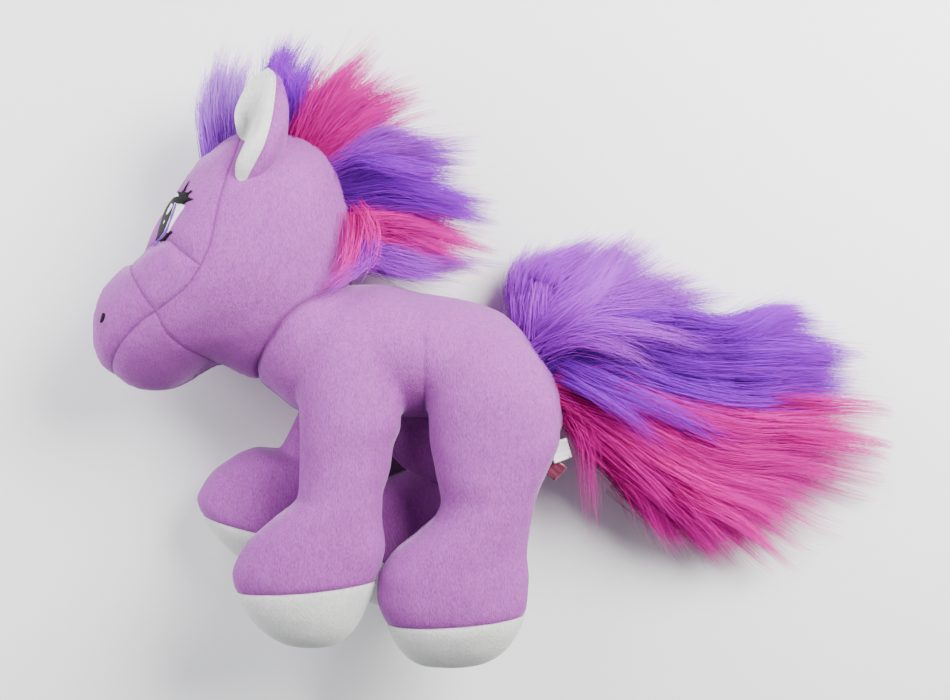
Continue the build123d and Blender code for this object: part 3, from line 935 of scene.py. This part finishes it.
DRAWN_FROM = Vector((-12.0, 3.75, 705.0))    # where the embroidery is pressed on from
DRAWN_AT = 73.4                              # the height its outlines are given at
EYE_WHITE = [
    (-156.1, 80.5), (-157.3, 79.3), (-158.9, 77.6), (-160.7, 74.8), (-162.3, 71.7), (-163.4, 68.9),
    (-164.4, 65.5), (-165.4, 62.3), (-166.1, 59.6), (-166.8, 56.8), (-168.2, 54.4), (-166.6, 54.9),
    (-164.6, 56.5), (-162.8, 57.8), (-161.4, 59.7), (-160.1, 62.2), (-158.7, 64.6), (-157.1, 67.2),
    (-155.4, 69.8), (-153.7, 72.1), (-153.0, 74.0), (-154.5, 74.8), (-155.4, 78.3),
]
EYE_IRIS = [
    (-156.9, 75.1), (-157.6, 74.4), (-158.3, 72.1), (-159.5, 68.9), (-160.5, 65.8), (-161.6, 63.2),
    (-163.0, 60.7), (-164.6, 58.5), (-166.6, 56.6), (-168.2, 54.4), (-167.2, 54.2), (-165.3, 56.1),
    (-163.2, 57.9), (-161.4, 60.5), (-160.3, 63.0), (-159.2, 65.8), (-158.0, 68.6), (-157.1, 71.4),
    (-156.3, 74.1),
]
EYE_PUPIL = [
    (-157.3, 77.9), (-158.9, 76.5), (-160.5, 74.4), (-162.1, 71.6), (-163.2, 68.6), (-164.3, 65.1),
    (-165.2, 62.3), (-165.8, 59.6), (-166.8, 56.7), (-165.8, 56.9), (-164.1, 58.9), (-162.7, 61.0),
    (-161.5, 63.7), (-160.3, 66.9), (-159.2, 69.6), (-158.3, 72.4), (-157.6, 74.5), (-157.1, 76.5),
]
EYE_SHINE_HIGH = [
    (-158.5, 75.2), (-159.7, 73.3), (-160.7, 71.4), (-161.5, 69.1), (-160.9, 68.9), (-159.8, 70.1),
    (-158.8, 72.1), (-158.1, 74.0),
]
EYE_SHINE_LOW = [
    (-161.6, 67.1), (-162.4, 66.4), (-163.0, 64.6), (-162.3, 64.6), (-161.6, 65.8),
]
LASH_HIGH = [
    (-158.0, 75.9), (-157.4, 77.6), (-156.5, 78.1), (-155.5, 78.0), (-155.6, 79.1), (-156.2, 80.5),
    (-155.2, 80.4), (-154.2, 80.2), (-153.3, 81.1), (-152.6, 80.2), (-151.0, 80.0), (-149.4, 81.1),
    (-149.0, 80.6), (-149.9, 79.8), (-151.2, 79.0), (-150.8, 77.6), (-149.7, 77.1), (-148.5, 76.8),
    (-149.6, 76.3), (-151.0, 75.9), (-152.4, 75.2), (-153.3, 74.1), (-154.0, 74.6), (-155.5, 74.4),
    (-156.6, 74.7), (-157.4, 75.3),
]
LASH_LOW = [
    (-158.9, 61.4), (-158.7, 60.6), (-160.0, 59.6), (-160.9, 58.5), (-162.1, 57.1), (-162.3, 56.4),
    (-163.5, 56.6), (-164.6, 56.2), (-165.7, 56.4), (-164.6, 57.0), (-163.5, 57.6), (-162.8, 58.4),
    (-161.9, 59.2), (-161.4, 60.3), (-160.4, 60.7), (-159.7, 61.4),
]
LASH_FINE = [
    (-153.3, 80.9), (-152.2, 83.0), (-150.4, 85.6), (-151.7, 82.8), (-152.6, 80.6),
]
NOSTRIL = [
    (-192.3, 21.8), (-191.5, 21.0), (-192.0, 18.6), (-193.1, 17.0), (-194.0, 17.4), (-193.5, 19.8),
    (-192.9, 21.5),
]
STITCH_STEP = 0.45
STITCH_RAISE = 0.35          # how far a patch's middle stands above its edge
SKIRT = 0.8                  # how far a patch's edge reaches down into the skin


def patch(outline, side, lift, curved=True):
    """An outline filled with stitches, laid on the head's skin and raised at its middle.
    Gives its points, with its edge again lower down, its faces, and the size of its edge."""
    edge = spline(outline, len(outline) * 4, closed=True) if curved else np.array(outline, float)
    low, high = edge.min(0), edge.max(0)
    gx, gy = np.meshgrid(*(np.arange(low[k], high[k], STITCH_STEP) for k in range(2)))
    ring = np.vstack([edge, edge[:1]])
    ok = inside(edge, gx, gy) & (to_line(ring, gx, gy) > 0.6 * STITCH_STEP)
    flat = np.vstack([edge, np.stack([gx[ok], gy[ok]], 1)])
    out = delaunay_2d_cdt([Vector(p) for p in flat], [], [list(range(len(edge)))], 1, 1e-5)
    points = np.array([tuple(v) for v in out[0]])
    swell = 1 - np.exp(-to_line(ring, points[:, 0], points[:, 1]) / STITCH_RAISE)
    placed = []
    for (x, y), h in zip(points, lift + STITCH_RAISE * swell):
        aim = Vector((x, y, DRAWN_AT))
        hit, normal = head_tree.ray_cast(DRAWN_FROM, aim - DRAWN_FROM)[:2]
        if hit is None:
            hit, normal = head_tree.find_nearest(aim)[:2]
        place = hit + normal * float(h)
        placed.append(Vector((place.x, place.y, MIDDLE + side * (place.z - MIDDLE))))
    skirt = [p - Vector((0, 0, SKIRT * side)) for p in placed[: len(edge)]]
    return placed + skirt, [list(f)[::side] for f in out[2]], len(edge)


def sew(name, patches, material, slot, *nodes):
    """One object on the head from patches of one thread."""
    points, faces = [], []
    for placed, triangles, rim in patches:
        base, low_rim = len(points), len(points) + len(placed) - rim
        points += [tuple(p) for p in placed]
        faces += [[base + i for i in f] for f in triangles]
        turns = [(k, (k + 1) % rim) for k in range(rim)]
        faces += [[base + a, base + b, low_rim + b, low_rim + a] for a, b in turns]
    obj = make(name, points, faces, material)
    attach(obj, "head")
    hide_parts(*nodes)


# the eye's threads from the skin outwards: part, outlines, lift, thread, slot, CAD nodes
EYE_LAYERS = [
    ("white", [EYE_WHITE], 0.05, thread_white, "thread_white", ["white"]),
    ("iris", [EYE_IRIS], 0.30, thread_violet, "thread_violet", ["iris"]),
    ("pupil", [EYE_PUPIL], 0.50, thread_charcoal, "thread_dark", ["pupil"]),
    ("shine", [EYE_SHINE_HIGH, EYE_SHINE_LOW], 0.70, thread_white, "thread_white", []),
    ("lash", [LASH_HIGH, LASH_LOW, LASH_FINE], 0.60, thread_dark, "thread_dark", ["lashes"]),
]
for side, eye in ((1, "left_eye"), (-1, "right_eye")):
    for part, outlines, lift, material, slot, nodes in EYE_LAYERS:
        patches = [patch(outline, side, lift, part != "lash") for outline in outlines]
        sew(f"{eye}_{part}_stitches", patches, material, slot, *(f"{eye}_{n}" for n in nodes))
nostrils = [patch(NOSTRIL, side, 0.10) for side in (1, -1)]
sew("nostril_dashes", nostrils, thread_dark, "thread_dark", "nostril_stitches")

# ---- labels


LABEL_THICK = 0.3


def label_piece(name, place, out, reach, half_width, ply_gap, curl, material, node_name):
    """A narrow label folded double, its cut ends sewn into the seam.
    out: the way it points, in degrees in the XY plane."""
    turn = math.radians(out)
    forward = np.array([math.cos(turn), math.sin(turn)])
    across = np.array([-math.sin(turn), math.cos(turn)])
    fold = np.linspace(-math.pi / 2, math.pi / 2, 9)
    top = [(t * reach, ply_gap) for t in np.linspace(0, 1, 9)]
    bend = [(reach + ply_gap * math.cos(a), -ply_gap * math.sin(a)) for a in fold]
    under = [(t * reach, -ply_gap) for t in np.linspace(1, 0, 9)]
    path = np.array([(s, z - curl * (s / reach) ** 2) for s, z in top + bend + under])
    widths = np.linspace(-half_width, half_width, 11)
    rows = []
    for w in widths:
        flat = np.array(place[:2]) + path[:, :1] * forward + w * across
        lift = place[2] + path[:, 1] + 0.25 * math.sin(2.1 * w) + 0.05 * w * path[:, 0]
        rows.append(np.column_stack([flat, lift]))
    points = np.array(rows).reshape(-1, 3)
    faces = grid_faces(len(widths), path.shape[0])
    obj = make(name, points, faces[:, ::-1], material)
    shell = obj.modifiers.new("thickness", "SOLIDIFY")
    shell.thickness = LABEL_THICK * MM
    shell.offset = 0
    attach(obj, "torso")
    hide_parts(node_name)


def tape(name, light, dark, gloss):
    """Woven satin tape."""
    material, tree, shader = new_material(name)
    coords = node(tree, "ShaderNodeTexCoord")
    weave = noise_of(tree, (coords, "Object"), 1800, 2.0)
    colour = two_colours(tree, weave.outputs["Fac"], 0.3, dark, 0.7, light)
    cover(tree, shader, colour, gloss, relief=(0.3, 0.0002, (weave, "Fac")))
    return material


ribbon_tape = tape("ribbon_satin", (0.86, 0.84, 0.84), (0.72, 0.70, 0.71), 0.35)
care_tape = tape("care_satin", (0.30, 0.055, 0.11), (0.17, 0.022, 0.055), 0.28)
label_piece(
    "ribbon_loop", (26.0, -48.0, 54.2), 18, 8.4, 5.2, 1.2, 0.8, ribbon_tape, "label_ribbon"
)
label_piece(
    "care_loop", (22.0, -51.5, 50.5), -38, 11.0, 4.6, 1.0, 1.5, care_tape, "care_label"
)

# ---- fur

HAIR_SIDES = 3
HAIR_RADIUS = 0.13
MAX_HAIRS = 4700             # in one mesh
TONES = (0.02, 0.97)         # the least and the greatest tone of a hair
hair_rng = np.random.default_rng(20)


def flow(curves, q, s):
    """The point at s along the flow, q across it. curves: lengthwise, sampled evenly."""
    count, steps = curves.shape[0], curves.shape[1]
    qi = np.clip(q, 0, count - 1.0001)
    i = qi.astype(int)
    u = (qi - i)[:, None, None]
    si = np.clip(s, 0, 1) * (steps - 1.0001)
    j = si.astype(int)
    v = (si - j)[..., None]
    row = i[:, None]
    a = curves[row, j] * (1 - v) + curves[row, j + 1] * v
    b = curves[row + 1, j] * (1 - v) + curves[row + 1, j + 1] * v
    over = np.maximum(s - 1, 0)[..., None] * (curves[row, -1] - curves[row, -4]) * 10
    return a * (1 - u) + b * u + over


def hair_mesh(name, paths, radius, tone, material):
    """Tapered hairs along paths (hair, step, xyz), with the UV that their colour reads."""
    count, steps = paths.shape[:2]
    along = np.gradient(paths, axis=1)
    along /= np.maximum(np.linalg.norm(along, axis=2, keepdims=True), 1e-9)
    turn = hair_rng.normal(size=(count, 1, 3))
    one = np.cross(along, turn)
    one /= np.maximum(np.linalg.norm(one, axis=2, keepdims=True), 1e-9)
    two = np.cross(along, one)
    t = np.linspace(0, 1, steps)
    taper = (1 - 0.85 * t**1.6)[None, :, None] * radius[:, None, None]
    angle = 2 * math.pi * np.arange(HAIR_SIDES) / HAIR_SIDES
    ring = np.stack([paths + taper * (math.cos(a) * one + math.sin(a) * two) for a in angle], 2)
    vertices = ring.reshape(-1, 3) * MM
    h, k, m = np.meshgrid(np.arange(count), np.arange(steps - 1), np.arange(HAIR_SIDES), indexing="ij")
    corners = ((k, m), (k, m + 1), (k + 1, m + 1), (k + 1, m))
    quads = np.stack([(h * steps + a) * HAIR_SIDES + b % HAIR_SIDES for a, b in corners], -1)
    quads = quads.reshape(-1, 4)
    mesh = bpy.data.meshes.new(name)
    mesh.vertices.add(len(vertices))
    mesh.vertices.foreach_set("co", vertices.astype(np.float32).ravel())
    mesh.loops.add(quads.size)
    mesh.loops.foreach_set("vertex_index", quads.ravel().astype(np.int32))
    mesh.polygons.add(len(quads))
    mesh.polygons.foreach_set("loop_start", (4 * np.arange(len(quads))).astype(np.int32))
    mesh.update(calc_edges=True)
    uv = mesh.uv_layers.new(name="OFBake")
    v = np.stack([k, k, k + 1, k + 1], -1).reshape(-1, 4) / (steps - 1)
    u = np.repeat(tone[h].reshape(-1, 1), 4, 1)
    u = u + np.array([0, 0.002, 0.002, 0])
    uv.data.foreach_set("uv", np.stack([u, 0.001 + 0.998 * v], -1).astype(np.float32).ravel())
    mesh.shade_smooth()
    mesh.materials.append(material)
    return in_scene(name, mesh)


TIP_X, TIP_ROOM = 196.0, 18.0     # hairs past this place are combed shorter, into this room


def combed(path):
    """Paths with no hair past the tail's room or under the floor."""
    over = np.maximum(path[..., 0] - TIP_X, 0)
    path[..., 0] -= over - TIP_ROOM * np.tanh(over / TIP_ROOM)
    path[..., 2] = np.maximum(path[..., 2], 0.5)
    return path


def locks(curves, hairs, clumps, roots, length, z_root, z_tip, steps, spread, stray, inset):
    """Paths, radii and tones of hairs in clumps that follow a flow.
    roots: the last place along the flow where a hair starts.
    length: shortest and longest share of the flow.
    z_root and z_tip: middle and half spread of height.
    spread: across the clump at its root and tip.
    stray: the share of loose hairs. inset: how far the roots lie inside the body."""
    curves = np.array(curves, float)
    first = curves[:, 1] - curves[:, 0]
    curves[:, 0] -= inset * first / np.linalg.norm(first, axis=1)[:, None]
    flat = np.array([spline(c, 40) for c in curves])
    rng = hair_rng
    cq = rng.uniform(0, len(curves) - 1, clumps)
    c0 = roots * rng.uniform(0, 1, clumps) ** 1.5
    cl = rng.uniform(length[0], length[1], clumps)
    cl = np.minimum(cl, rng.uniform(0.84, 1.07, clumps) - c0)
    cz0, cz1 = rng.uniform(-1, 1, clumps), rng.uniform(-1, 1, clumps)
    drift = rng.normal(0, 0.10, clumps) * len(curves)
    which = rng.integers(0, clumps, hairs)
    t = np.linspace(0, 1, steps)[None, :]
    short = (0.42 + 0.68 * rng.uniform(0, 1, hairs) ** 0.8)[:, None]
    s = c0[which][:, None] + cl[which][:, None] * t * short
    q = cq[which]
    path = flow(flat, q, s)
    ahead = flow(flat, q, s + 0.01) - path
    ahead /= np.maximum(np.linalg.norm(ahead, axis=2, keepdims=True), 1e-9)
    side = np.stack([-ahead[..., 1], ahead[..., 0]], -1)
    turned = (drift[which][:, None] * 3.0) * t**1.5
    gather = spread[0] * (1 - t) ** 0.7 + spread[1] * t
    a, b = rng.normal(size=(hairs, 1)), rng.normal(size=(hairs, 1))
    wave = rng.uniform(0, 2 * math.pi, (hairs, 1))
    clump_wave = rng.uniform(0, 2 * math.pi, clumps)[which][:, None]
    bend = rng.normal(0, 1.0, (hairs, 1)) * spread[1] * 0.9
    sideways = a * gather + turned + 0.5 * np.sin(wave + 5 * t) * t
    sideways = sideways + 1.0 * np.sin(clump_wave + 4.2 * t) * t + bend * t**2.5
    loose = rng.uniform(size=(hairs, 1)) < stray
    sideways = sideways + loose * rng.normal(0, 5.0, (hairs, 1)) * t**1.6
    root_height = (z_root[0] + z_root[1] * cz0[which])[:, None]
    tip_height = (z_tip[0] + z_tip[1] * cz1[which])[:, None]
    height = root_height * (1 - s) + tip_height * s
    puff = np.sin(np.pi * t) * 2.0
    height = height + b * gather * 0.7 + puff * cz0[which][:, None]
    height = height + loose * rng.normal(2, 4.0, (hairs, 1)) * t**1.6
    out = combed(np.concatenate([path + side * sideways[..., None], height[..., None]], -1))
    tone = 0.5 + 0.20 * rng.normal(size=clumps)[which] + 0.13 * rng.normal(size=hairs)
    radius = HAIR_RADIUS * rng.uniform(0.7, 1.25, hairs)
    return out, radius, np.clip(tone, *TONES)


# loose strands that leave their band: their way, and how many hairs
STRANDS = {
    "mane_pink_back": [
        ([(-70.9, 69, 70), (-70.9, 54, 80), (-74.5, 42, 86), (-86, 31.9, 88)], 106),
        ([(-72, 75, 60), (-64, 66, 70), (-62, 52, 74), (-68, 42, 76)], 66),
    ],
    "mane_lavender_back": [([(-64.8, 57, 66), (-65.8, 46, 76), (-73.9, 39, 84), (-85, 31, 88)], 100)],
    "mane_purple_front": [
        ([(-104, 122, 70), (-103.5, 132, 80), (-107, 139, 87), (-106, 147, 86)], 66),
        ([(-101, 118, 60), (-98, 132, 64), (-93, 144, 62), (-91, 157, 58)], 73),
    ],
    "mane_purple_back": [([(-78, 94, 60), (-62, 96, 72), (-40, 90, 74), (-22, 92, 66)], 86)],
    "tail_lavender": [
        ([(24, 4, 62), (40, 9, 70), (62, 3, 68), (82, -8, 60)], 140),
        ([(20, 10, 60), (34, 22, 68), (50, 34, 64), (62, 54, 52)], 140),
        ([(22, 6, 62), (48, 15, 71), (80, 12, 64), (108, 4, 50)], 140),
    ],
    "tail_purple": [
        ([(29, -8, 60), (40, -13, 68), (62.7, -27, 66), (83.4, -47.8, 50)], 153),
        ([(28, -4, 60), (60, -16, 68), (100, -34, 50), (125, -50, 34)], 106),
        ([(105, 6, 40), (127, 13, 42), (142.6, 21.8, 36), (159, 27, 28)], 300),
    ],
    "tail_pink": [
        ([(34, -20, 58), (43, -38.5, 56), (45.7, -58, 46), (49.9, -89, 30)], 153),
        ([(140, -22, 32), (170, -24, 28), (195, -25, 22), (215, -30, 14)], 100),
        ([(140, -38, 32), (168, -43, 26), (192, -47, 18), (213, -53, 10)], 100),
        ([(60, -44, 40), (74, -66, 36), (84, -88, 28), (96, -106, 16)], 86),
    ],
}


STRAND_POINTS = 80


def strand(way, hairs, steps):
    """Paths of a loose strand: spread at its root, gathered and frayed towards its tip."""
    rng = hair_rng
    fine = spline(way, STRAND_POINTS)
    t = np.linspace(0, 1, steps)
    place = t[None, :] * rng.uniform(0.45, 1.0, (hairs, 1)) + rng.uniform(0, 0.08, (hairs, 1))
    place = place * (STRAND_POINTS - 2)
    i = np.minimum(place.astype(int), STRAND_POINTS - 2)
    path = fine[i] + (fine[i + 1] - fine[i]) * (place - i)[..., None]
    spread = 3.4 * (1 - t) ** 0.8 + 1.7 * t
    path = path + rng.normal(size=(hairs, 1, 3)) * spread[None, :, None]
    path = path + rng.normal(size=(hairs, 1, 3)) * (2.6 * t**2)[None, :, None]
    radius = HAIR_RADIUS * rng.uniform(0.7, 1.15, hairs)
    return combed(path), radius, np.clip(rng.normal(0.6, 0.16, hairs), *TONES)


def thinned(hairs):
    return hairs


def band(name, body, nodes, material, slot, curves, hairs, **how):
    """One colour of fur as one or more meshes of hairs."""
    paths, radius, tone = locks(curves, thinned(hairs), **how)
    steps = paths.shape[1]
    for way, count in STRANDS.get(name, []):
        extra = strand(way, thinned(count), steps)
        paths, radius, tone = (np.concatenate(pair) for pair in zip((paths, radius, tone), extra))
    parts = int(math.ceil(len(paths) / MAX_HAIRS))
    for k in range(parts):
        pick = slice(k, None, parts)
        made = f"{name}_hair_{k + 1}" if parts > 1 else f"{name}_hair"
        obj = hair_mesh(made, paths[pick], radius[pick], tone[pick], material)
        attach(obj, body)
        if k == 0:
            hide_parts(*nodes)


MANE_FLOWS = {
    "mane_forelock": (FORELOCK, "fur_lavender", [
        [(-143, 106), (-144.8, 119), (-144.5, 133), (-143.5, 142)],
        [(-138, 108), (-139.4, 124), (-137, 140), (-132, 155)],
        [(-131, 109), (-131, 124), (-127.5, 139), (-121, 151)]]),
    "mane_purple_front": (PURPLE, "fur_purple", [
        [(-121, 110), (-119, 126), (-114, 142), (-108, 153)],
        [(-110, 111), (-106.4, 132), (-107.5, 148), (-99, 163)],
        [(-105.5, 111), (-102, 127), (-97, 142), (-91.5, 157)]]),
    "mane_pink_front": (PINK, "fur_pink", [
        [(-105, 109), (-100.5, 123), (-94, 138), (-84, 154)],
        [(-99, 108), (-90, 124), (-80, 140), (-64, 157)],
        [(-93, 105), (-80, 122), (-66, 133), (-50, 142)],
        [(-88, 102), (-75, 113), (-59, 124), (-33, 131)],
        [(-84, 99), (-70, 109), (-55, 116), (-40, 124)]]),
    "mane_lavender_middle": (LAVENDER, "fur_lavender", [
        [(-83, 98), (-65, 110), (-50, 113), (-32, 111)],
        [(-80, 96), (-64, 103.5), (-44, 107.5), (-15, 108)],
        [(-77.5, 93), (-60, 100), (-40, 99.5), (-18, 97.5)]]),
    "mane_purple_back": (PURPLE, "fur_purple", [
        [(-77.5, 92), (-60, 98.5), (-41, 100.5), (-19, 98.5)],
        [(-75.6, 86), (-55, 90.3), (-34, 85), (-9, 82)],
        [(-74.4, 79), (-54, 81.3), (-29, 77.4), (-6, 73)],
        [(-73.4, 74), (-54, 74.3), (-29, 72.2), (-9, 66)]]),
    "mane_pink_back": (PINK, "fur_pink", [
        [(-73.2, 71), (-54, 73.3), (-34, 71.3), (-19, 67)],
        [(-72.6, 66), (-54, 65.3), (-34, 61), (-1, 52)],
        [(-72.8, 60), (-60, 57), (-40, 54), (-18, 42)]]),
    "mane_lavender_back": (LAVENDER, "fur_lavender", [
        [(-72, 56), (-55, 53), (-34, 50.5), (-4, 47.5)],
        [(-73, 51), (-61, 47), (-45, 42), (-28, 40)]]),
}
THICK_BANDS = ("mane_pink_front", "mane_purple_back", "mane_pink_back")
MANE = dict(
    roots=0.04, length=(0.48, 1.10), z_root=(MIDDLE, 9), z_tip=(MIDDLE - 2, 22), steps=7,
    spread=(2.6, 0.75), stray=0.22, inset=7.0,
)
for name, (material, slot, curves) in MANE_FLOWS.items():
    hairs, clumps = 6500 if name in THICK_BANDS else 4600, 26 + 9 * len(curves)
    backing = ["mane_backing"] if name == "mane_purple_back" else []
    band(name, "head", [name, *backing], material, slot, curves, hairs, clumps=clumps, **MANE)

TAIL_FLOWS = {
    "tail_lavender": (LAVENDER, "fur_lavender", 16000, [
        [(14, 14), (11, 26), (8, 42), (11, 58)],
        [(18, 13), (19, 30), (27, 48), (46, 61)],
        [(20, 11), (33, 28), (48, 45), (68, 64)],
        [(22.5, 9), (40, 26), (63, 38), (93, 53)],
        [(25, 6), (46, 20), (78, 27), (120, 34)],
        [(27, 2.5), (53, 14), (91, 16), (118, 10)]]),
    "tail_purple": (PURPLE, "fur_purple", 18000, [
        [(27.5, 3), (52, 14), (83, 21), (117, 15), (140, 24), (158, 28)],
        [(28, 0), (54, 10), (90, 13), (120, 12), (150, 17), (172, 16)],
        [(29, -4), (58, 6), (97, 0.5), (142, 2), (168, 0), (193, -2)],
        [(30, -9), (58, -2), (92, -9), (130, -14), (158, -12), (188, -14)],
        [(31, -12), (60, -9), (92, -17), (124, -24), (154, -23), (182, -20)]]),
    "tail_pink": (PINK, "fur_pink", 20000, [
        [(31, -10), (58, -10), (91, -17), (130, -26), (168, -24), (207, -27)],
        [(34, -16), (58, -23), (88, -33), (122, -42), (165, -43), (211, -49)],
        [(35, -20), (60, -31), (86, -44), (116, -57), (150, -62), (190, -75)],
        [(35.5, -23), (60, -39), (84, -57), (108, -71), (132, -82), (158, -101)],
        [(35.5, -25), (56, -42), (78, -61), (96, -79), (112, -95), (128, -112)],
        [(36, -26), (47, -42), (60, -57), (71, -70), (80, -82), (90, -96)]]),
}
TAIL = dict(
    clumps=170, roots=0.55, length=(0.44, 0.94), z_root=(MIDDLE - 2, 15), z_tip=(14, 10), steps=8,
    spread=(3.4, 0.95), stray=0.18, inset=11.0,
)
for name, (material, slot, hairs, curves) in TAIL_FLOWS.items():
    backing = ["tail_backing"] if name == "tail_purple" else []
    band(name, "tail", [name, *backing], material, slot, curves, hairs, **TAIL)

# ---- floor, light and camera


def floor_material():
    material, tree, shader = new_material("table_top")
    noise = node(tree, "ShaderNodeTexNoise", {"Scale": 700})
    pale = two_colours(tree, noise.outputs["Fac"], 0, (0.86, 0.86, 0.855), 1, (0.89, 0.89, 0.885))
    cover(tree, shader, pale, 0.7)
    return material


FLOOR_HALF, FLOOR_Z = 2500, -0.2
corners = [(a * FLOOR_HALF, b * FLOOR_HALF, FLOOR_Z) for a, b in ((-1, -1), (1, -1), (1, 1), (-1, 1))]
floor = make("floor", corners, [(0, 1, 2, 3)], floor_material())


def lamp(name, place, target, size, power, colour):
    light = bpy.data.lights.new(name, "AREA")
    light.shape = "DISK"
    light.size = size
    light.energy = power
    light.color = colour
    obj = in_scene(name, light)
    obj.location = place
    obj.rotation_mode = "QUATERNION"
    obj.rotation_quaternion = (Vector(target) - Vector(place)).to_track_quat("-Z", "Y")


lamp("window", (0.52, 0.42, 0.66), (0.06, 0.02, 0.0), 0.6, 31, (1.0, 0.99, 0.975))
lamp("sky", (-0.42, 0.42, 0.55), (-0.14, 0.06, 0.0), 0.5, 5, (0.95, 0.965, 1.0))
lamp("wall", (-0.62, 0.02, 0.26), (-0.12, 0.0, 0.05), 0.4, 3.0, (0.97, 0.96, 1.0))
world = bpy.data.worlds.new("room")
bpy.context.scene.world = world
world.use_nodes = True
background = world.node_tree.nodes["Background"]
background.inputs["Color"].default_value = (0.84, 0.87, 0.95, 1)
background.inputs["Strength"].default_value = 0.36

camera_data = bpy.data.cameras.new("camera")
camera_data.lens = 49.3
camera_data.sensor_width = 36
camera = in_scene("camera", camera_data)
camera.location = (-0.012, 0.00375, 0.705)
bpy.context.scene.camera = camera
